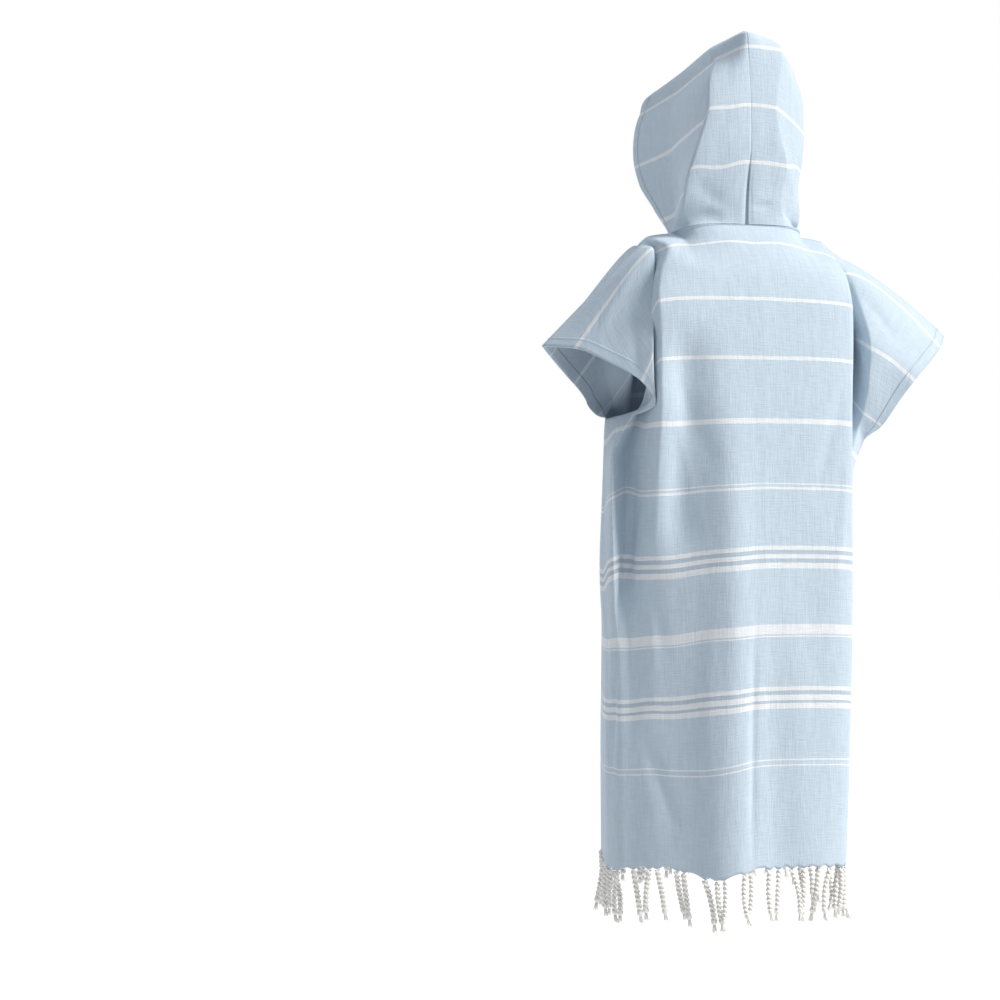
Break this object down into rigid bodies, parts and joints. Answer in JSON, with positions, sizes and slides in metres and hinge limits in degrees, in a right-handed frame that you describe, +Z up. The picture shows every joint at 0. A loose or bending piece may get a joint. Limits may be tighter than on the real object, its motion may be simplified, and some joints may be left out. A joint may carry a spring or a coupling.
{
  "type": "hooded bath poncho",
  "caption": "Child's hooded bath poncho in striped flat-woven cotton, with short open sleeves, a front pocket and a tasselled hem.",
  "frame": {"origin": "middle of the neck opening, level with the shoulder fold, where the shoulders hold the garment", "axes": "+Z up along the garment from hem to hood, the front faces -Y, the wearer's left is +X"},
  "size_m": [0.5461, 0.2816, 1.1055],
  "materials": {
    "cloth": "matt flat-woven cotton, pale blue with white stripes",
    "fringe": "matt off-white twisted cotton yarn"
  },
  "bodies": {
    "root": {"back_panel": "cloth", "front_panel": "cloth", "hood_left": "cloth", "hood_right": "cloth", "pocket": "cloth", "fringe_back": "fringe", "fringe_front": "fringe"}
  },
  "joints": []
}
